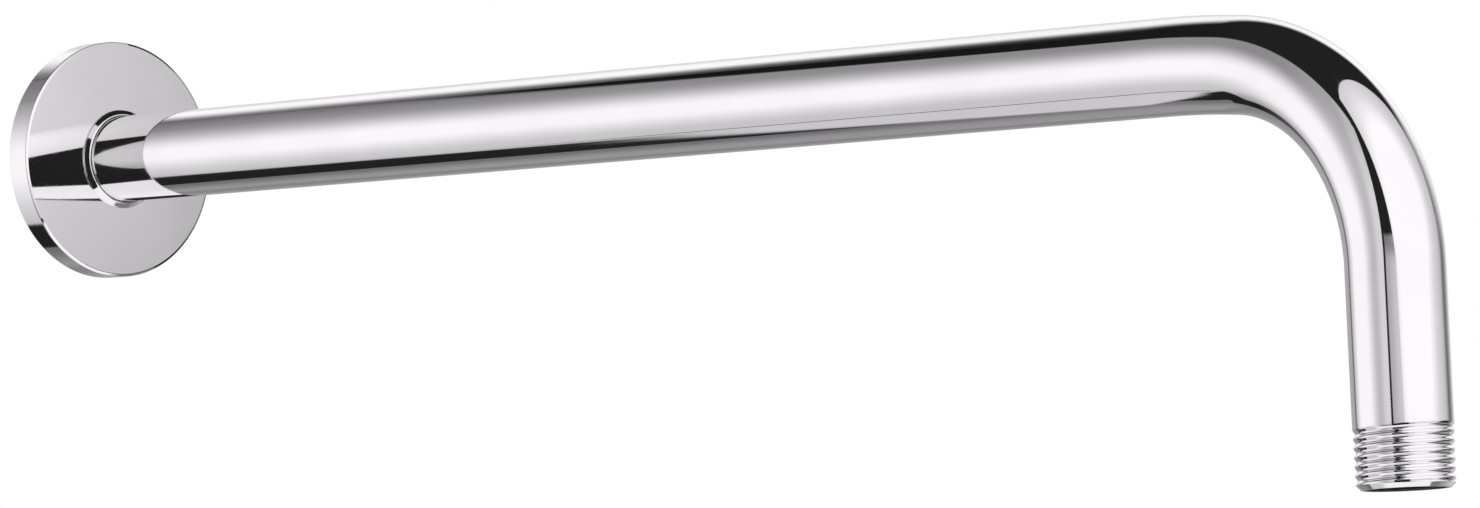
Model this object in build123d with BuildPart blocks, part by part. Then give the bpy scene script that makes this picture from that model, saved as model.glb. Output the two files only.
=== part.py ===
from build123d import *
import os
from math import cos, radians, sin, sqrt

# Wall-mounted shower arm: a bent tube threaded at both ends, a round wall flange that slides on it
# and the square-cut rubber ring in the flange's hole that grips the tube.
# Millimetres. The origin is on the tube's axis at the wall plane, +X runs out along the arm, +Z is up.

# Tube
tube_od = 20.0
tube_wall = 2.5
reach = 406.0  # wall plane to the centre of the outlet
drop = 86.5  # arm axis down to the centre of the outlet

# Bend: a gentle lead-in where the tube enters the former, then the bend itself
bend_turn = 87.5  # whole turn in degrees, a little short of square after spring-back
bend_radius = 44.0
lead_in_radius = 250.0
lead_in_turn = 4.5

# Threaded ends: each land is turned a little below the tube, the helix itself is left out
thread_cut = 0.2  # turned off the tube's radius
wall_thread_length = 15.0  # behind the wall plane
outlet_thread_length = 12.0
thread_chamfer = 1.0
bore_chamfer = 0.4

# Wall flange: a turned cup, open towards the wall, its face a shallow dome up to the collar
flange_d = 55.0
rim_depth = 6.2  # wall plane to the dome's edge
face_crown_radius = 320.0
flange_wall = 1.6  # rim, and plate at the dome's edge
rim_break = 0.6
flange_clearance = 0.1  # radial, on the tube
collar_wall = 1.3
collar_height = 1.3  # in front of the dome
collar_break = 0.6
boss_setback = 0.8  # boss end to the wall plane
boss_wall = 1.4  # outside the groove
groove_lip = 1.2  # behind the groove

# Square-cut seal ring in the flange's groove
seal_section = 1.8
seal_clearance = 0.05  # radial, to the tube and to the groove's floor
seal_side_room = 0.2  # each side of the ring in the groove

tube_radius = tube_od / 2
bore_radius = tube_radius - tube_wall
thread_radius = tube_radius - thread_cut

# The straight leg closes the drop, and the bend starts where the leg then ends at the reach.
bend_run = lead_in_radius * sin(radians(lead_in_turn)) + bend_radius * (
    sin(radians(bend_turn)) - sin(radians(lead_in_turn))
)
bend_fall = lead_in_radius * (1 - cos(radians(lead_in_turn))) + bend_radius * (
    cos(radians(lead_in_turn)) - cos(radians(bend_turn))
)
leg_length = (drop - bend_fall) / sin(radians(bend_turn))
bend_start = reach - bend_run - leg_length * cos(radians(bend_turn))

# Flange section, outwards from the tube
hole_radius = tube_radius + flange_clearance
collar_radius = hole_radius + collar_wall
seal_mid_radius = tube_radius + seal_clearance + seal_section / 2
groove_radius = seal_mid_radius + seal_section / 2 + seal_clearance
boss_radius = groove_radius + boss_wall
flange_radius = flange_d / 2

# Flange section, forwards from the wall plane; the dome's centre is on the axis behind the wall
groove_back = boss_setback + groove_lip
groove_front = groove_back + seal_section + 2 * seal_side_room
plate_back = rim_depth - flange_wall
dome_centre = rim_depth - sqrt(face_crown_radius**2 - flange_radius**2)
dome_middle_radius = (flange_radius + collar_radius) / 2
dome_middle = dome_centre + sqrt(face_crown_radius**2 - dome_middle_radius**2)
collar_foot = dome_centre + sqrt(face_crown_radius**2 - collar_radius**2)
collar_front = collar_foot + collar_height


with BuildPart() as arm:
    with BuildLine(Plane.XZ) as route:
        arm_run = Line((-wall_thread_length, 0), (bend_start, 0))
        lead_in = JernArc(arm_run @ 1, arm_run % 1, lead_in_radius, -lead_in_turn)
        bend = JernArc(lead_in @ 1, lead_in % 1, bend_radius, lead_in_turn - bend_turn)
        PolarLine(bend @ 1, leg_length, direction=bend % 1)
    wall_end = Plane(route.line @ 0, z_dir=route.line % 0)
    outlet_end = Plane(route.line @ 1, z_dir=-(route.line % 1))
    with BuildSketch(wall_end) as tube_section:
        Circle(tube_radius)
        Circle(bore_radius, mode=Mode.SUBTRACT)
    sweep(path=route.line)

    # Thread lands, turned down from the outside
    for end, land in ((wall_end, wall_thread_length), (outlet_end, outlet_thread_length)):
        with BuildSketch(end) as turned_off:
            Circle(tube_od)
            Circle(thread_radius, mode=Mode.SUBTRACT)
        extrude(amount=land, mode=Mode.SUBTRACT)

    # Broken edges at both mouths, outside and in the bore
    for axis in (Axis.X, Axis.Z):
        for rim, size in ((-1, thread_chamfer), (0, bore_chamfer)):
            mouth = arm.faces().filter_by(GeomType.PLANE).sort_by(axis)[0]
            chamfer(mouth.edges().sort_by(SortBy.RADIUS)[rim], length=size)

with BuildPart() as wall_flange:
    with BuildSketch(Plane.XZ) as flange_section:
        with BuildLine() as flange_outline:
            Line((0, flange_radius), (rim_depth, flange_radius))
            ThreePointArc(
                (rim_depth, flange_radius),
                (dome_middle, dome_middle_radius),
                (collar_foot, collar_radius),
            )
            Polyline(
                (collar_foot, collar_radius),
                (collar_front, collar_radius),
                (collar_front, hole_radius),
                (groove_front, hole_radius),
                (groove_front, groove_radius),
                (groove_back, groove_radius),
                (groove_back, hole_radius),
                (boss_setback, hole_radius),
                (boss_setback, boss_radius),
                (plate_back, boss_radius),
                (plate_back, flange_radius - flange_wall),
                (0, flange_radius - flange_wall),
                (0, flange_radius),
            )
        make_face()
        rim_corner = flange_section.vertices().sort_by_distance((rim_depth, flange_radius))[0]
        chamfer(rim_corner, length=rim_break)
        collar_corner = flange_section.vertices().sort_by_distance((collar_front, collar_radius))[0]
        chamfer(collar_corner, length=collar_break)
    revolve(axis=Axis.X)

with BuildPart() as flange_seal:
    with BuildSketch(Plane.XZ) as seal_outline:
        with Locations(((groove_back + groove_front) / 2, seal_mid_radius)):
            Rectangle(seal_section, seal_section)
    revolve(axis=Axis.X)

os.makedirs("parts", exist_ok=True)
for name, piece in (("arm", arm), ("wall_flange", wall_flange), ("flange_seal", flange_seal)):
    piece.part.label = name
    export_step(piece.part, f"parts/{name}.step")

print("bend starts at", round(bend_start, 3), "leg", round(leg_length, 3))
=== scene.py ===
import math

import bpy
import numpy as np
from mathutils import Matrix


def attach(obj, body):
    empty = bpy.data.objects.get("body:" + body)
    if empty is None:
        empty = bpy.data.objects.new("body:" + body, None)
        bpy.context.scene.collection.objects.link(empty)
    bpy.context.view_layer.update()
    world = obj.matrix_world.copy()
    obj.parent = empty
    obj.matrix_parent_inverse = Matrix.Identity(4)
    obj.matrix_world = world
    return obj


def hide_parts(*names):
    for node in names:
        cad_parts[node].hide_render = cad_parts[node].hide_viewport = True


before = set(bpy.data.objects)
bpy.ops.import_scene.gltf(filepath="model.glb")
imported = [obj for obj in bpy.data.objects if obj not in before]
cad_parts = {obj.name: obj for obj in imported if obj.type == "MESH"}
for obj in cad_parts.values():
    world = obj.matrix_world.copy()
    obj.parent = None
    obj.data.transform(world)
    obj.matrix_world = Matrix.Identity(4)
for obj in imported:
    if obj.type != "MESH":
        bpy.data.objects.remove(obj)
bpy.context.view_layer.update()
scene = bpy.context.scene
scene.view_settings.view_transform = "Standard"
mm = 0.001
print("frame loaded:", sorted(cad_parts))


# camera: fitted to the outlines of the tube, the flange and the outlet
cameraSpot = {
    "place": (1.3966, -1.1131, -0.1154),
    "yaw": -46.652,  # degrees from +Y, towards +X
    "pitch": 2.948,
    "roll": -0.71,
    "lens": 184.98,  # mm, as is the sensor's width
    "sensor": 36.0,
    "clip": (0.05, 100.0),
}


def placeCamera(spot):
    yaw, pitch, roll = (math.radians(spot[k]) for k in ("yaw", "pitch", "roll"))
    ahead = np.array([
        math.sin(yaw) * math.cos(pitch),
        math.cos(yaw) * math.cos(pitch),
        math.sin(pitch),
    ])
    level = np.array([math.cos(yaw), -math.sin(yaw), 0.0])
    upright = np.cross(level, ahead)
    right = math.cos(roll) * level + math.sin(roll) * upright
    up = math.cos(roll) * upright - math.sin(roll) * level
    pose = np.eye(4)
    pose[:3, :4] = np.stack([right, up, -ahead, spot["place"]], axis=1)
    data = bpy.data.cameras.new("photoCamera")
    data.sensor_fit = "HORIZONTAL"
    data.sensor_width = spot["sensor"]
    data.lens = spot["lens"]
    data.clip_start, data.clip_end = spot["clip"]
    camera = bpy.data.objects.new("photoCamera", data)
    scene.collection.objects.link(camera)
    camera.matrix_world = Matrix(pose.tolist())
    scene.camera = camera


placeCamera(cameraSpot)
print("camera placed")


# mesh from a grid of points that closes on itself both ways, faces turned outwards
def closedGrid(name, points):
    rows, cols = points.shape[:2]
    index = np.arange(rows * cols).reshape(rows, cols)
    across = np.roll(index, -1, axis=1)
    corners = [index, across, np.roll(across, -1, axis=0), np.roll(index, -1, axis=0)]
    quads = np.stack(corners, -1).reshape(-1, 4)
    flat = points.reshape(-1, 3)
    a, b, c, d = (flat[quads[:, k]] for k in range(4))
    volume = np.einsum("ij,ij->i", a, np.cross(b, c) + np.cross(c, d)).sum()
    if volume < 0:
        quads = quads[:, ::-1]
    mesh = bpy.data.meshes.new(name)
    mesh.vertices.add(len(flat))
    mesh.vertices.foreach_set("co", flat.astype(np.float32).ravel())
    mesh.loops.add(quads.size)
    mesh.loops.foreach_set("vertex_index", quads.astype(np.int32).ravel())
    mesh.polygons.add(len(quads))
    mesh.polygons.foreach_set("loop_start", np.arange(0, quads.size, 4, dtype=np.int32))
    mesh.polygons.foreach_set("use_smooth", np.ones(len(quads), dtype=bool))
    mesh.update(calc_edges=True)
    piece = bpy.data.objects.new(name, mesh)
    scene.collection.objects.link(piece)
    return piece


# outline whose corners are arcs: each arc touches both sides at round / tan(half the corner's angle),
# and one more point just outside each end of the arc keeps the flat beside it flat in shading
def roundedOutline(corners, rounds, steps=7, hug=0.04, closed=True):
    corner = np.asarray(corners, float)
    radius = np.asarray(rounds, float)
    back = np.roll(corner, 1, axis=0) - corner
    ahead = np.roll(corner, -1, axis=0) - corner
    back /= np.linalg.norm(back, axis=1, keepdims=True)
    ahead /= np.linalg.norm(ahead, axis=1, keepdims=True)
    half = np.arccos(np.clip((back * ahead).sum(1), -1, 1)) / 2
    reach = radius / np.tan(half)
    middle = back + ahead
    middle /= np.linalg.norm(middle, axis=1, keepdims=True)
    centre = corner + middle * (radius / np.sin(half))[:, None]
    swing = np.linspace(-1, 1, steps)[None, :] * (math.pi / 2 - half)[:, None]
    sideways = (ahead - back) / np.linalg.norm(ahead - back, axis=1, keepdims=True)
    arc = centre[:, None] + radius[:, None, None] * (
        -middle[:, None] * np.cos(swing)[..., None] + sideways[:, None] * np.sin(swing)[..., None]
    )
    before = corner + back * (reach + hug)[:, None]
    after = corner + ahead * (reach + hug)[:, None]
    outline = np.concatenate([before[:, None], arc, after[:, None]], axis=1)
    if not closed:
        outline = outline[1:-1]  # the first and last corners only give directions
    return outline.reshape(-1, 2)


# the bent tube with its two threads, bore and broken edges, in mm
tube = {
    "radius": 10.0,
    "bore": 7.5,
    "reach": 406.0,  # wall plane to the middle of the outlet
    "drop": 86.5,
    "bendTurn": 87.5,  # degrees
    "bendRadius": 44.0,
    "leadInTurn": 4.5,  # degrees, where the tube enters the former
    "leadInRadius": 250.0,
    "stub": 15.0,  # behind the wall plane
    "wallThread": 14.0,
    "outletThread": 13.1,
    "pitch": 1.814,  # 14 turns to the inch
    "crest": 9.95,  # where the thread starts
    "endCrest": 9.8,  # the thread tapers a little
    "grooveDepth": 0.46,
    "grooveRound": 0.5,  # share of the pitch that crest and root take to turn
    "runOut": 1.1,  # turns over which the groove fades
    "start": 0.686,  # turns, where the groove starts round the tube
    "grooveStop": (0.8, 0.6),  # from the end: no groove in the broken edge, full depth that much later
    "landCut": 0.2,  # turned off at both ends
    "endChamfer": 1.0,
    "boreChamfer": 0.4,
    "edgeRound": 0.12,
    "endOutline": (1.4, 2.0),  # how far an end's outline follows its broken edge and its bore
    "plateEdge": 0.1,  # the plating ends this far inside the end's outer edge
    "lip": 0.35,  # from each end to the first row of the outside
    "wallFineTo": 1.2,  # close rows for the wall thread end here, wide ones start at plainFrom
    "plainFrom": 2.0,
    "outletFine": 14.6,  # before the outlet, close rows for its thread
    "rows": (130, 60, 10, 84, 8, 156),  # wall thread, straight, lead-in, bend, leg, outlet thread
    "boreRows": (6, 50, 6, 8),  # leg, bend, lead-in, straight
    "around": 160,
    "sharpFrom": 50.0,  # degrees between faces that are shaded as an edge
}


# stations along the tube where the straight, the lead-in, the bend and the leg end
def tubeLengths(t):
    lead, turn = math.radians(t["leadInTurn"]), math.radians(t["bendTurn"])
    run = t["leadInRadius"] * math.sin(lead) + t["bendRadius"] * (math.sin(turn) - math.sin(lead))
    fall = t["leadInRadius"] * (1 - math.cos(lead)) + t["bendRadius"] * (math.cos(lead) - math.cos(turn))
    leg = (t["drop"] - fall) / math.sin(turn)
    straight = t["reach"] - run - leg * math.cos(turn)
    leadEnd = straight + t["leadInRadius"] * lead
    bendEnd = leadEnd + t["bendRadius"] * (turn - lead)
    return straight, leadEnd, bendEnd, bendEnd + leg


# centre line at a station: a straight, an arc of large radius, the bend's arc and the straight leg,
# each adding radius times the change of sine and cosine of the turned angle
def centreLine(station, t):
    straight, leadEnd, bendEnd = tubeLengths(t)[:3]
    lead, turn = math.radians(t["leadInTurn"]), math.radians(t["bendTurn"])
    first = np.clip((station - straight) / t["leadInRadius"], 0, lead)
    whole = first + np.clip((station - leadEnd) / t["bendRadius"], 0, turn - lead)
    tail = np.maximum(station - bendEnd, 0)
    x = np.minimum(station, straight) + t["leadInRadius"] * np.sin(first)
    x = x + t["bendRadius"] * (np.sin(whole) - np.sin(first)) + tail * np.cos(whole)
    z = t["leadInRadius"] * (1 - np.cos(first)) + t["bendRadius"] * (np.cos(first) - np.cos(whole))
    z = -z - tail * np.sin(whole)
    zero = np.zeros_like(x)
    return np.stack([x, zero, z], -1), np.stack([np.sin(whole), zero, np.cos(whole)], -1)


# thread: a triangle wave along the helix (station / pitch + angle / turn), its crest and root rounded by
# parabolas, on a slight taper, faded to nothing over the last turns before the plain tube
def threadCut(station, angle, t, threadFrom, threadTo):
    turns = station / t["pitch"] + angle / (2 * math.pi) + t["start"]
    nearest = np.round(turns)
    off = np.abs(turns - nearest)  # 0 in the groove's middle, 0.5 on the crest
    w = t["grooveRound"]
    wave = 1 - 2 * off
    wave = np.where(off < w / 2, 1 - 2 * (off**2 / w + w / 4), wave)
    wave = np.where(0.5 - off < w / 2, 2 * ((0.5 - off) ** 2 / w + w / 4), wave)
    wave = (wave - w / 2) / (1 - w)
    middle = t["pitch"] * (nearest - angle / (2 * math.pi) - t["start"])
    runOut = t["runOut"] * t["pitch"] * np.sign(threadTo - threadFrom)
    inside = np.clip((middle - threadFrom) / runOut, 0, 1)
    fade = inside * inside * (3 - 2 * inside)
    along = np.clip((station - threadFrom) / (threadTo - threadFrom), 0, 1)
    crest = t["crest"] + (t["endCrest"] - t["crest"]) * along
    stop, grow = t["grooveStop"]
    deep = np.clip((np.abs(threadTo - station) - stop) / grow, 0, 1)
    return fade * (t["radius"] - crest + t["grooveDepth"] * wave * deep)


# stations of the rows along the outside and back through the bore, close together at threads and bend
def tubeRows(t):
    straight, leadEnd, bendEnd, total = tubeLengths(t)
    fineFrom = total - t["outletFine"]
    wallRows, straightRows, leadRows, bendRows, legRows, outletRows = t["rows"]
    outer = np.concatenate([
        np.linspace(t["lip"] - t["stub"], t["wallFineTo"], wallRows),
        np.linspace(t["plainFrom"], straight, straightRows)[:-1],
        np.linspace(straight, leadEnd, leadRows)[:-1],
        np.linspace(leadEnd, bendEnd, bendRows)[:-1],
        np.linspace(bendEnd, fineFrom, legRows)[:-1],
        np.linspace(fineFrom, total - t["lip"], outletRows),
    ])
    boreBack = t["endOutline"][1]
    legRows, bendRows, leadRows, straightRows = t["boreRows"]
    bore = np.concatenate([
        np.linspace(total - boreBack, bendEnd, legRows)[:-1],
        np.linspace(bendEnd, leadEnd, bendRows)[:-1],
        np.linspace(leadEnd, straight, leadRows)[:-1],
        np.linspace(straight, boreBack - t["stub"], straightRows),
    ])
    return outer, bore


# tube surface: (station, angle) to centre + radius * (cos outward + sin sideways); the rows run along the
# outside, over the outlet's end face, back through the bore and over the wall end's face
def makeTube(t):
    straight, *_, total = tubeLengths(t)
    mouth = t["radius"] - t["landCut"] - t["endChamfer"]
    chamferBack, boreBack = t["endOutline"]
    endCorners = [
        (chamferBack, mouth + chamferBack),
        (0, mouth),
        (0, t["bore"] + t["boreChamfer"]),
        (t["boreChamfer"], t["bore"]),
        (boreBack, t["bore"]),
    ]
    endRounds = [t["edgeRound"]] * len(endCorners)
    endLoop = roundedOutline(endCorners, endRounds, steps=5, hug=0.03, closed=False)
    outer, bore = tubeRows(t)
    station = np.concatenate([outer, total - endLoop[:, 0], bore, endLoop[::-1, 0] - t["stub"]])
    outside, inside = np.full(len(outer), t["radius"]), np.full(len(bore), t["bore"])
    radius = np.concatenate([outside, endLoop[:, 1], inside, endLoop[::-1, 1]])
    isOuter = np.arange(len(station)) < len(outer)
    angle = np.linspace(0, 2 * math.pi, t["around"], endpoint=False)
    s, a = station[:, None], angle[None, :]
    cone = mouth + np.minimum(s + t["stub"], total - s)  # broken edge of the nearer end
    outletCut = threadCut(s, a, t, total - t["outletThread"], total)
    wallCut = threadCut(s, a, t, t["wallThread"] - t["stub"], -t["stub"])
    threaded = t["radius"] - np.where(s > straight, outletCut, wallCut)
    r = np.where(isOuter[:, None], np.minimum(threaded, cone), radius[:, None] + 0 * a)
    centre, outward = centreLine(station, t)
    sideways = np.array([0.0, 1.0, 0.0])
    around = np.cos(a)[..., None] * outward[:, None] + np.sin(a)[..., None] * sideways
    piece = closedGrid("bentTube", (centre[:, None] + r[..., None] * around) * mm)
    piece.data.set_sharp_from_angle(angle=math.radians(t["sharpFrom"]))
    unbent = np.stack([r * np.cos(a), r * np.sin(a), s + 0 * a], -1) * mm  # the tube as if still straight
    layer = piece.data.attributes.new("unbent", "FLOAT_VECTOR", "POINT")
    layer.data.foreach_set("vector", unbent.astype(np.float32).ravel())
    unplated = r < mouth - t["plateEdge"]  # end faces and bore
    layer = piece.data.attributes.new("unplated", "FLOAT", "POINT")
    layer.data.foreach_set("value", unplated.astype(np.float32).ravel())
    return piece


bentTube = makeTube(tube)
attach(bentTube, "arm")
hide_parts("arm")
print("tube made:", len(bentTube.data.polygons), "quads")


# the wall flange: (distance from the wall, radius) corners of its section, each with its rounding, in mm
flange = {
    "corners": [
        (0.0, 27.5, 0.15),
        (5.98, 27.5, 0.2),  # bevel at the front of the rim
        (6.2, 26.92, 0.4),
        (6.2, 11.4, 0.1),  # foot of the collar
        (6.62, 11.4, 0.1),  # its cone
        (7.4, 10.39, 0.6),  # its rounded front
        (7.4, 10.1, 0.06),
        (4.2, 10.1, 0.08),  # groove of the seal
        (4.2, 11.9, 0.08),
        (2.0, 11.9, 0.08),
        (2.0, 10.1, 0.08),
        (0.8, 10.1, 0.12),
        (0.8, 13.3, 0.15),
        (4.6, 13.3, 0.3),  # hollow back
        (4.6, 25.9, 0.5),
        (0.0, 25.9, 0.15),
    ],
    "footCorner": 3,  # the face ends at this corner
    "rim": 27.5,
    "crownRadius": 320.0,  # of the shallow dome that lifts the face and the collar
    "liftFrom": 5.0,  # what is in front of this is lifted
    "faceRows": 24,
    "around": 288,
}


# flange surface: the section (x, r) turned about the tube's axis, (x, r sin angle, r cos angle), its front
# lifted by the dome's height over the rim, root(crown^2 - r^2) - root(crown^2 - rim^2)
def makeFlange(f):
    section = np.array(f["corners"])
    outline = roundedOutline(section[:, :2], section[:, 2])
    foot = f["footCorner"] * len(outline) // len(section)
    face = np.linspace(outline[foot - 1], outline[foot], f["faceRows"] + 2)[1:-1]
    outline = np.insert(outline, foot, face, axis=0)
    angle = np.linspace(0, 2 * math.pi, f["around"], endpoint=False)
    x, r = outline[:, :1], outline[:, 1:]
    lift = np.sqrt(f["crownRadius"] ** 2 - r**2) - math.sqrt(f["crownRadius"] ** 2 - f["rim"] ** 2)
    x = x + np.where(x > f["liftFrom"], lift, 0.0)
    points = np.stack([x + 0 * angle, r * np.sin(angle), r * np.cos(angle)], -1)
    return closedGrid("wallFlange", points * mm)


wallFlange = makeFlange(flange)
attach(wallFlange, "flange")
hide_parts("wall_flange")
print("flange made:", len(wallFlange.data.polygons), "quads")


# small helpers for node trees
def addNode(tree, kind, **values):
    node = tree.nodes.new(kind)
    for key, value in values.items():
        setattr(node, key, value)
    return node


def newMaterial(name):
    material = bpy.data.materials.new(name)
    material.use_nodes = True
    tree = material.node_tree
    return material, tree, tree.nodes["Principled BSDF"]


def mapRange(tree, value, fromLow, fromHigh, toLow, toHigh):
    node = addNode(tree, "ShaderNodeMapRange", interpolation_type="SMOOTHSTEP")
    for socket, number in zip(node.inputs[1:5], (fromLow, fromHigh, toLow, toHigh)):
        socket.default_value = number
    tree.links.new(value, node.inputs[0])
    return node.outputs[0]


def noise(tree, place, scale, detail=2.0):
    node = addNode(tree, "ShaderNodeTexNoise")
    node.inputs["Scale"].default_value = scale
    node.inputs["Detail"].default_value = detail
    tree.links.new(place, node.inputs["Vector"])
    return node.outputs["Fac"]


def blendColours(tree, value, span, low, high):
    node = addNode(tree, "ShaderNodeValToRGB")
    for element, place, colour in zip(node.color_ramp.elements, span, (low, high)):
        element.position, element.color = place, colour
    tree.links.new(value, node.inputs["Fac"])
    return node.outputs["Color"]


def addBump(tree, shader, height, distance):
    node = addNode(tree, "ShaderNodeBump")
    node.inputs["Strength"].default_value = 1.0
    node.inputs["Distance"].default_value = distance
    tree.links.new(height, node.inputs["Height"])
    tree.links.new(node.outputs["Normal"], shader.inputs["Normal"])


# chrome plate: mirror bright, with faint polishing lines, a thin haze and a trace of ripple in the plate;
# a span is the part of a noise's range over which it takes effect
chrome = {
    "bright": (0.905, 0.9, 0.905, 1.0),
    "hazed": (0.87, 0.865, 0.875, 1.0),
    "hazeScale": 45.0,
    "hazeDetail": 4.0,
    "hazeSpan": (0.35, 0.65),
    "lineScale": 900.0,  # polishing lines, per metre across them
    "lineDetail": 3.0,
    "lineSpan": (0.3, 0.75),
    "lineStretch": 0.03,  # how long they are drawn out
    "smooth": 0.025,
    "dull": 0.06,
    "rippleScale": 70.0,
    "rippleDetail": 1.0,
    "rippleHeight": 0.0000012,
    "rawDark": (0.03, 0.027, 0.025, 1.0),  # brass of the bore and the cut ends, which are not plated
    "rawLight": (0.075, 0.066, 0.059, 1.0),
    "rawSpan": (0.3, 0.7),
    "rawDull": 0.5,  # added to the plate's roughness
}


def chromePlate(name, c, alongAttribute=None):
    material, tree, shader = newMaterial(name)
    shader.inputs["Metallic"].default_value = 1.0
    if alongAttribute:  # lines run along the tube
        place = addNode(tree, "ShaderNodeAttribute", attribute_name=alongAttribute).outputs["Vector"]
        mapping = addNode(tree, "ShaderNodeMapping")
        mapping.inputs["Scale"].default_value = (1.0, 1.0, c["lineStretch"])
        tree.links.new(place, mapping.inputs["Vector"])
        drawnOut = mapping.outputs["Vector"]
    else:
        place = drawnOut = addNode(tree, "ShaderNodeTexCoord").outputs["Object"]
    lines = noise(tree, drawnOut, c["lineScale"], c["lineDetail"])
    haze = noise(tree, place, c["hazeScale"], c["hazeDetail"])
    colour = blendColours(tree, haze, c["hazeSpan"], c["hazed"], c["bright"])
    roughness = mapRange(tree, lines, *c["lineSpan"], c["smooth"], c["dull"])
    if alongAttribute:
        unplated = addNode(tree, "ShaderNodeAttribute", attribute_name="unplated").outputs["Fac"]
        raw = blendColours(tree, lines, c["rawSpan"], c["rawDark"], c["rawLight"])
        coat = addNode(tree, "ShaderNodeMix", data_type="RGBA")
        for socket, source in zip((0, 6, 7), (unplated, colour, raw)):
            tree.links.new(source, coat.inputs[socket])
        colour = coat.outputs[2]
        rougher = addNode(tree, "ShaderNodeMath", operation="MULTIPLY_ADD")
        rougher.inputs[1].default_value = c["rawDull"]
        tree.links.new(unplated, rougher.inputs[0])
        tree.links.new(roughness, rougher.inputs[2])
        roughness = rougher.outputs[0]
    tree.links.new(colour, shader.inputs["Base Color"])
    tree.links.new(roughness, shader.inputs["Roughness"])
    addBump(tree, shader, noise(tree, place, c["rippleScale"], c["rippleDetail"]), c["rippleHeight"])
    return material


# black rubber of the seal ring: mottled, dull, with a fine grain
rubber = {
    "dark": (0.018, 0.018, 0.019, 1.0),
    "dusty": (0.05, 0.05, 0.052, 1.0),
    "mottleScale": 600.0,
    "mottleSpan": (0.3, 0.75),
    "smooth": 0.55,
    "dull": 0.8,
    "dullSpan": (0.3, 0.7),
    "grainScale": 4000.0,
    "grainHeight": 0.00002,
}


def sealRubber(name, c):
    material, tree, shader = newMaterial(name)
    place = addNode(tree, "ShaderNodeTexCoord").outputs["Object"]
    mottle = noise(tree, place, c["mottleScale"])
    colour = blendColours(tree, mottle, c["mottleSpan"], c["dark"], c["dusty"])
    roughness = mapRange(tree, mottle, *c["dullSpan"], c["smooth"], c["dull"])
    tree.links.new(colour, shader.inputs["Base Color"])
    tree.links.new(roughness, shader.inputs["Roughness"])
    addBump(tree, shader, noise(tree, place, c["grainScale"]), c["grainHeight"])
    return material


bentTube.data.materials.append(chromePlate("tubeChrome", chrome, "unbent"))
wallFlange.data.materials.append(chromePlate("flangeChrome", chrome))
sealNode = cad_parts["flange_seal"]
sealNode.data.materials.clear()
sealNode.data.materials.append(sealRubber("sealRubber", rubber))
print("materials made")


# studio: a plain pale floor, one soft lamp over it, and round it a room whose soft panels and dark ceiling
# show in the chrome; the window and the end of the left panel stand close by, as cards
studio = {
    "floorHeight": -0.24,
    "floorSize": 40.0,
    "floorColour": (0.86, 0.86, 0.87, 1.0),
    "floorDull": 0.9,
    "floorGloss": 0.1,
    "roomLight": 0.72,  # on the floor
    "lampPower": 9.0,
    "lampSize": 0.9,
    "lampPlace": (0.1, -0.35, 1.5),
    "ceiling": 0.0155,  # tones of the room, as the chrome sees it
    "ceilingBack": 0.008,  # darker over the wall
    "rightWall": 0.26,
    "floor": 0.6,
    "rail": 0.12,
    "sill": 0.08,
    "chromeGain": 1.1,  # what the plate takes from a reflection
    "tint": (1.0, 0.972, 1.0, 1.0),  # of all that the chrome sees
    "heart": (0.405, -0.005, -0.02),  # at the bend; all bearings are taken from here
    "windowFoot": (0.687, -0.161, -0.3),  # lower end of the window's left edge
    "windowTop": (0.523, -0.47, 0.72),
    "windowAcross": (0.056, 1.48, 0.232),  # from its left edge to its right
    "windowBright": (-5.0, 22.0),  # bearing and elevation of its brightest spot
    "windowGlow": (  # tones by the cosine of the angle from that spot
        (0.0, 0.2), (0.16, 0.3), (0.25, 0.5), (0.41, 0.61), (0.56, 0.67),
        (0.67, 0.8), (0.79, 1.02), (0.87, 1.18), (1.0, 1.3),
    ),
    "endCardSpan": (0.1, 0.551),  # along x
    "endCardSide": -0.514,
    "endCardTops": (0.731, 0.474),
    "endCardFoot": -0.35,
}


def direction(azimuth, elevation):
    a, e = math.radians(azimuth), math.radians(elevation)
    return (math.cos(e) * math.cos(a), math.cos(e) * math.sin(a), math.sin(e))


# plane through the eye and two points of a panel's straight edge, given as (azimuth, elevation)
def edgePlane(first, second):
    normal = np.cross(direction(*first), direction(*second))
    return tuple(normal / np.linalg.norm(normal))


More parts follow.
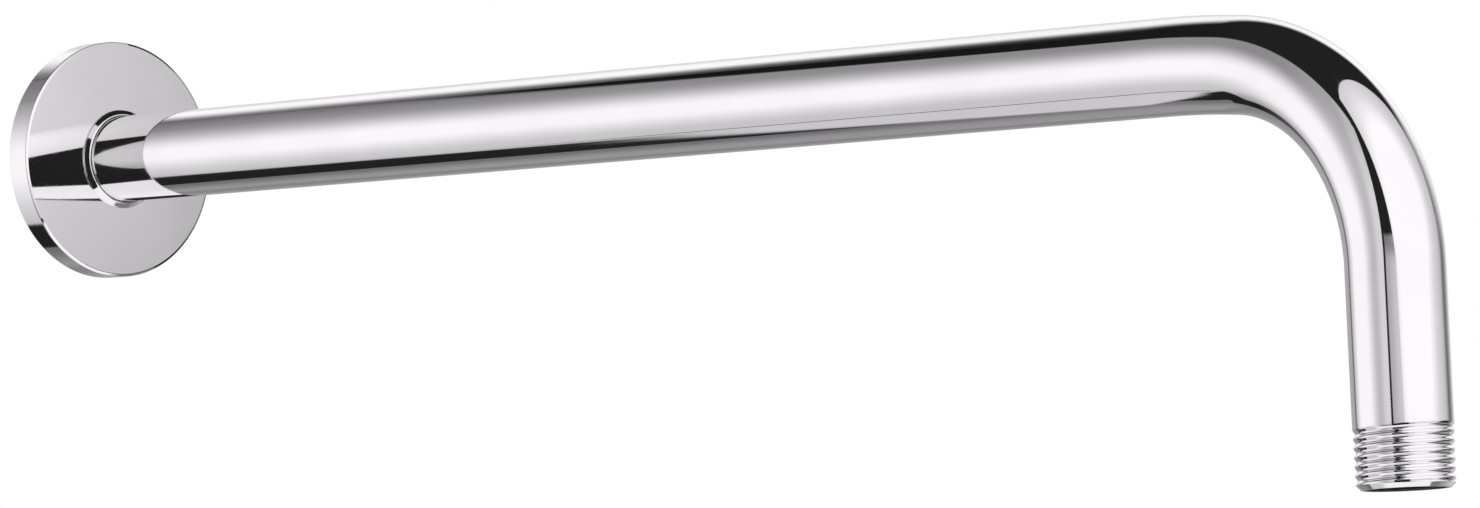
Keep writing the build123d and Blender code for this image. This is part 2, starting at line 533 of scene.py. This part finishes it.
# node helpers for tones that depend on a bearing
class Bearings:
    def __init__(self, tree, ray):
        self.tree, self.links, self.ray = tree, tree.links, ray
        split = addNode(tree, "ShaderNodeSeparateXYZ")
        tree.links.new(ray, split.inputs[0])
        self.x, y, z = split.outputs
        behind = self.calc("ARCTAN2", self.calc("MULTIPLY", y, -1.0), self.calc("MULTIPLY", self.x, -1.0))
        degree = 180.0 / math.pi
        self.height = self.calc("MULTIPLY", self.calc("ARCSINE", z), degree)  # elevation
        self.bearing = self.calc("MULTIPLY", self.calc("ARCTAN2", y, self.x), degree)  # from +X, towards +Y
        self.behind = self.calc("MULTIPLY", behind, degree)  # from -X, towards -Y

    def plug(self, sockets, terms):
        for socket, term in zip(sockets, terms):
            if isinstance(term, (int, float)):
                socket.default_value = term
            else:
                self.links.new(term, socket)

    def calc(self, operation, *terms):
        node = addNode(self.tree, "ShaderNodeMath", operation=operation)
        self.plug(node.inputs, terms)
        return node.outputs[0]

    def towards(self, vector):
        node = addNode(self.tree, "ShaderNodeVectorMath", operation="DOT_PRODUCT")
        node.inputs[1].default_value = vector
        self.links.new(self.ray, node.inputs[0])
        return node.outputs["Value"]

    def ramp(self, value, start, end, low, high):  # start and end mostly in degrees, then the tones there
        return mapRange(self.tree, value, start, end, low, high)

    def beyond(self, plane, soft):  # 1 on the plane's positive side
        return self.ramp(self.towards(plane), -soft, soft, 0.0, 1.0)

    def both(self, *masks):
        whole = masks[0]
        for mask in masks[1:]:
            whole = self.calc("MULTIPLY", whole, mask)
        return whole

    def less(self, value, mask):  # darkened by a mask
        return self.calc("MULTIPLY", value, self.calc("SUBTRACT", 1.0, mask))

    def over(self, under, level, mask):
        node = addNode(self.tree, "ShaderNodeMix", data_type="FLOAT")
        self.plug((node.inputs[0], node.inputs[2], node.inputs[3]), (mask, under, level))
        return node.outputs[0]


# great window in front and overhead, brightest at one spot, dark under its sill on the right
def windowTone(b, s):
    glow = addNode(b.tree, "ShaderNodeValToRGB")
    glow.color_ramp.interpolation = "B_SPLINE"
    for stop in s["windowGlow"][1:-1]:
        glow.color_ramp.elements.new(stop[0])
    for element, (place, bright) in zip(glow.color_ramp.elements, s["windowGlow"]):
        element.position = place
        element.color = (bright, bright, bright, 1.0)
    b.links.new(b.towards(direction(*s["windowBright"])), glow.inputs["Fac"])
    sill = b.both(b.ramp(b.height, -9.0, -7.5, 1.0, 0.0), b.ramp(b.bearing, 44.0, 52.0, 0.0, 1.0))
    return b.over(glow.outputs["Color"], s["sill"], sill)


# left panel, white low down and dimmer upwards, shaded at its end
def leftPanelTone(b, s):
    low = b.ramp(b.height, 3.0, 39.0, 0.97, 0.27)
    end = b.both(
        b.ramp(b.bearing, -96.0, -82.0, 0.51, 0.68),
        b.ramp(b.height, 14.0, 46.0, 1.0, 0.72),
        b.ramp(b.height, -34.0, -6.0, 0.62, 1.0),
    )
    return b.over(low, end, b.ramp(b.bearing, -126.0, -98.0, 0.0, 1.0))


# dark ceiling, and a low grey wall left and right of the window
def ceilingAndWalls(b, s):
    leftWall = b.both(b.ramp(b.bearing, -70.5, -69.0, 0.0, 1.0), b.ramp(b.bearing, -44.0, -43.0, 1.0, 0.0))
    sides = b.calc("ADD", leftWall, b.ramp(b.bearing, 60.0, 61.0, 0.0, 1.0))
    wall = b.both(b.ramp(b.bearing, -70.0, -45.0, 0.42, 0.62), b.ramp(b.height, 5.0, 11.0, 1.0, 0.46))
    wall = b.over(wall, s["rightWall"], b.ramp(b.bearing, 0.0, 1.0, 0.0, 1.0))
    overTop = b.calc("SUBTRACT", b.height, b.ramp(b.bearing, -70.0, -48.0, 12.2, 14.2))
    band = b.both(b.ramp(overTop, -0.8, 0.8, 1.0, 0.0), b.ramp(b.height, -9.0, -6.0, 0.0, 1.0))
    ceiling = b.ramp(b.x, -0.8, -0.45, s["ceilingBack"], s["ceiling"])
    return b.over(ceiling, wall, b.both(band, sides))


# right panel, bright, its top edge soft, shaded at its near end, in its lower corner and in the middle
def rightPanel(b, under):
    top = b.ramp(b.bearing, 86.0, 118.0, 33.0, 44.5)
    top = b.calc("ADD", top, b.ramp(b.bearing, 150.0, 178.0, 0.0, -3.0))
    level = b.both(b.ramp(b.bearing, 82.0, 106.0, 0.36, 0.97), b.ramp(b.bearing, 156.0, 180.0, 1.0, 0.2))
    corner = b.both(b.ramp(b.bearing, 92.0, 132.0, 0.6, 0.0), b.ramp(b.height, 2.0, 22.0, 1.0, 0.0))
    middle = b.both(
        b.ramp(b.bearing, 118.0, 128.0, 0.0, 1.0),
        b.ramp(b.bearing, 146.0, 156.0, 1.0, 0.0),
        b.ramp(b.height, 20.0, 32.0, 0.3, 0.03),
    )
    level = b.less(b.less(level, corner), middle)
    belowTop = b.ramp(b.calc("SUBTRACT", b.height, top), -6.0, 6.0, 1.0, 0.0)
    return b.over(under, level, b.both(belowTop, b.ramp(b.bearing, 79.0, 81.0, 0.0, 1.0)))


# back wall, dim at its top
def backWall(b, under):
    mask = b.both(
        b.ramp(b.behind, -4.0, 4.0, 0.0, 1.0),
        b.ramp(b.behind, 30.0, 34.0, 1.0, 0.0),
        b.ramp(b.height, 40.5, 41.8, 1.0, 0.0),
    )
    return b.over(under, b.ramp(b.behind, 4.0, 22.0, 0.19, 0.27), mask)


# left panel, with a straight top and end
def leftPanel(b, under, s):
    mask = b.both(
        b.beyond(edgePlane((-71.25, 43.0), (-155.0, 43.75)), 0.018),
        b.ramp(b.bearing, -76.0, -75.0, 1.0, 0.0),
        b.ramp(b.bearing, -160.0, -157.0, 0.0, 1.0),
    )
    return b.over(under, leftPanelTone(b, s), mask)


# low part of the back: grey on the right, light on the left, a dark gap between them, the floor below
def lowBack(b, under, s):
    light = b.both(b.ramp(b.height, -36.0, -6.0, 0.58, 0.97), b.ramp(b.behind, 5.0, 26.0, 0.55, 1.0))
    grey = b.both(b.ramp(b.behind, -26.0, -4.0, 0.14, 0.0), b.ramp(b.height, -34.0, -24.0, 1.0, 0.0))
    grey = b.calc("ADD", grey, b.ramp(b.height, -40.0, 4.0, 0.155, 0.405))
    low = b.over(light, grey, b.ramp(b.behind, -6.0, -2.5, 1.0, 0.0))

    gapLeft = b.ramp(b.height, -30.0, -8.0, -11.0, -3.5)
    gapLeft = b.calc("MAXIMUM", gapLeft, b.ramp(b.height, -36.0, -31.0, -4.0, -20.0))
    gapRight = b.ramp(b.height, -34.0, -29.0, 18.5, 4.5)
    gap = b.both(
        b.ramp(b.calc("SUBTRACT", b.behind, gapLeft), -1.5, 1.5, 0.0, 1.0),
        b.ramp(b.calc("SUBTRACT", b.behind, gapRight), -1.5, 1.5, 1.0, 0.0),
    )
    low = b.over(low, b.ramp(b.height, -26.0, -6.0, s["ceiling"], 0.17), gap)

    rail = edgePlane((180.0, 0.0), (-90.0, -64.5))  # thin dark line along the arm, where the floor starts
    farEdge = edgePlane((176.0, -45.1), (203.0, -37.6))
    low = b.over(s["floor"], low, b.calc("MAXIMUM", b.beyond(farEdge, 0.01), b.beyond(rail, 0.006)))
    onRail = b.ramp(b.calc("ABSOLUTE", b.towards(rail)), 0.006, 0.013, 1.0, 0.0)
    low = b.over(low, s["rail"], b.both(onRail, b.ramp(b.height, -38.0, -36.5, 1.0, 0.0)))

    below = b.both(b.ramp(b.height, -2.0, 0.5, 1.0, 0.0), b.ramp(b.x, -0.5, -0.3, 1.0, 0.0))
    above = b.both(
        b.ramp(b.height, 5.0, 8.0, 1.0, 0.0),
        b.ramp(b.behind, -50.0, -40.0, 0.0, 1.0),
        b.ramp(b.behind, 30.0, 40.0, 1.0, 0.0),
    )
    return b.over(under, low, b.calc("MAXIMUM", below, above))


# floor in front, beyond the dark gap that the window and the left panel leave between them
def floorInFront(b, under):
    nearCorner = b.both(b.ramp(b.bearing, 26.0, 30.0, 0.0, 1.0), b.ramp(b.height, -29.0, -25.0, 0.0, 1.0))
    farCorner = b.both(b.ramp(b.bearing, 40.0, 50.0, 0.0, 0.8), b.ramp(b.height, -60.0, -56.0, 0.0, 1.0))
    front = b.both(
        b.ramp(b.height, -8.0, -3.0, 1.0, 0.0),
        b.ramp(b.x, -0.5, -0.3, 0.0, 1.0),
        b.beyond(edgePlane((0.0, -20.0), (-27.0, -48.0)), 0.015),
    )
    front = b.less(front, b.calc("MAXIMUM", nearCorner, farCorner))
    return b.over(under, b.ramp(b.height, -46.0, -28.0, 0.92, 0.98), front)


# world: white to the camera, plain light on the floor, and the room only in what the chrome mirrors
def makeRoom(s):
    world = bpy.data.worlds.new("studioRoom")
    world.use_nodes = True
    world.cycles.sampling_method = "NONE"
    scene.world = world
    tree = world.node_tree
    b = Bearings(tree, addNode(tree, "ShaderNodeTexCoord").outputs["Generated"])
    room = ceilingAndWalls(b, s)
    room = rightPanel(b, room)
    room = backWall(b, room)
    room = leftPanel(b, room, s)
    room = lowBack(b, room, s)
    room = floorInFront(b, room)
    room = b.calc("MULTIPLY", room, s["chromeGain"])
    lightPath = addNode(tree, "ShaderNodeLightPath")
    mirrored = b.calc("MAXIMUM", lightPath.outputs["Is Glossy Ray"], lightPath.outputs["Is Transmission Ray"])
    seen = b.over(s["roomLight"], room, mirrored)
    seen = b.over(seen, 1.0, lightPath.outputs["Is Camera Ray"])
    tree.links.new(seen, tree.nodes["Background"].inputs["Strength"])
    hue = addNode(tree, "ShaderNodeMix", data_type="RGBA")
    hue.inputs[6].default_value, hue.inputs[7].default_value = (1.0, 1.0, 1.0, 1.0), s["tint"]
    tree.links.new(mirrored, hue.inputs[0])
    tree.links.new(hue.outputs[2], tree.nodes["Background"].inputs["Color"])


def flatSheet(name, corners):
    mesh = bpy.data.meshes.new(name)
    mesh.from_pydata(np.asarray(corners).tolist(), [], [(0, 1, 2, 3)])
    sheet = bpy.data.objects.new(name, mesh)
    scene.collection.objects.link(sheet)
    return sheet


# card that only the chrome sees, its tone set by the bearing from the bend
def makeCard(name, corners, tone, s):
    card = flatSheet(name, corners)
    material, tree, shader = newMaterial(name)
    tree.nodes.remove(shader)
    away = addNode(tree, "ShaderNodeVectorMath", operation="SUBTRACT")
    away.inputs[1].default_value = s["heart"]
    tree.links.new(addNode(tree, "ShaderNodeTexCoord").outputs["Object"], away.inputs[0])
    ray = addNode(tree, "ShaderNodeVectorMath", operation="NORMALIZE")
    tree.links.new(away.outputs[0], ray.inputs[0])
    b = Bearings(tree, ray.outputs[0])
    glow = addNode(tree, "ShaderNodeEmission")
    glow.inputs["Color"].default_value = s["tint"]
    tree.links.new(b.calc("MULTIPLY", tone(b, s), s["chromeGain"]), glow.inputs["Strength"])
    tree.links.new(glow.outputs[0], tree.nodes["Material Output"].inputs["Surface"])
    material.cycles.emission_sampling = "NONE"
    card.data.materials.append(material)
    card.visible_camera = False
    card.visible_diffuse = False
    card.visible_shadow = False
    card.visible_volume_scatter = False


def makeCards(s):
    foot, top, across = (np.array(s[k]) for k in ("windowFoot", "windowTop", "windowAcross"))
    makeCard("window", [foot, foot + across, top + across, top], windowTone, s)
    left, right = s["endCardSpan"]
    leftTop, rightTop = s["endCardTops"]
    side, low = s["endCardSide"], s["endCardFoot"]
    corners = [(left, side, low), (right, side, low), (right, side, rightTop), (left, side, leftTop)]
    makeCard("leftPanelEnd", corners, leftPanelTone, s)


# floor: seen from above only, so that a view from below looks through it
def makeFloor(s):
    half, height = s["floorSize"] / 2, s["floorHeight"]
    corners = [(-half, -half, height), (half, -half, height), (half, half, height), (-half, half, height)]
    floor = flatSheet("floor", corners)
    material, tree, shader = newMaterial("paleFloor")
    shader.inputs["Base Color"].default_value = s["floorColour"]
    shader.inputs["Roughness"].default_value = s["floorDull"]
    shader.inputs["Specular IOR Level"].default_value = s["floorGloss"]
    through = addNode(tree, "ShaderNodeBsdfTransparent")
    mix = addNode(tree, "ShaderNodeMixShader")
    geometry = addNode(tree, "ShaderNodeNewGeometry")
    tree.links.new(geometry.outputs["Backfacing"], mix.inputs[0])
    tree.links.new(shader.outputs[0], mix.inputs[1])
    tree.links.new(through.outputs[0], mix.inputs[2])
    tree.links.new(mix.outputs[0], tree.nodes["Material Output"].inputs["Surface"])
    floor.data.materials.append(material)
    floor.visible_glossy = False


def makeLamp(s):
    data = bpy.data.lights.new("softLamp", "AREA")
    data.energy = s["lampPower"]
    data.size = s["lampSize"]
    lamp = bpy.data.objects.new("softLamp", data)
    scene.collection.objects.link(lamp)
    lamp.location = s["lampPlace"]
    lamp.visible_camera = False
    lamp.visible_glossy = False


makeRoom(studio)
makeCards(studio)
makeFloor(studio)
makeLamp(studio)
print("studio made")
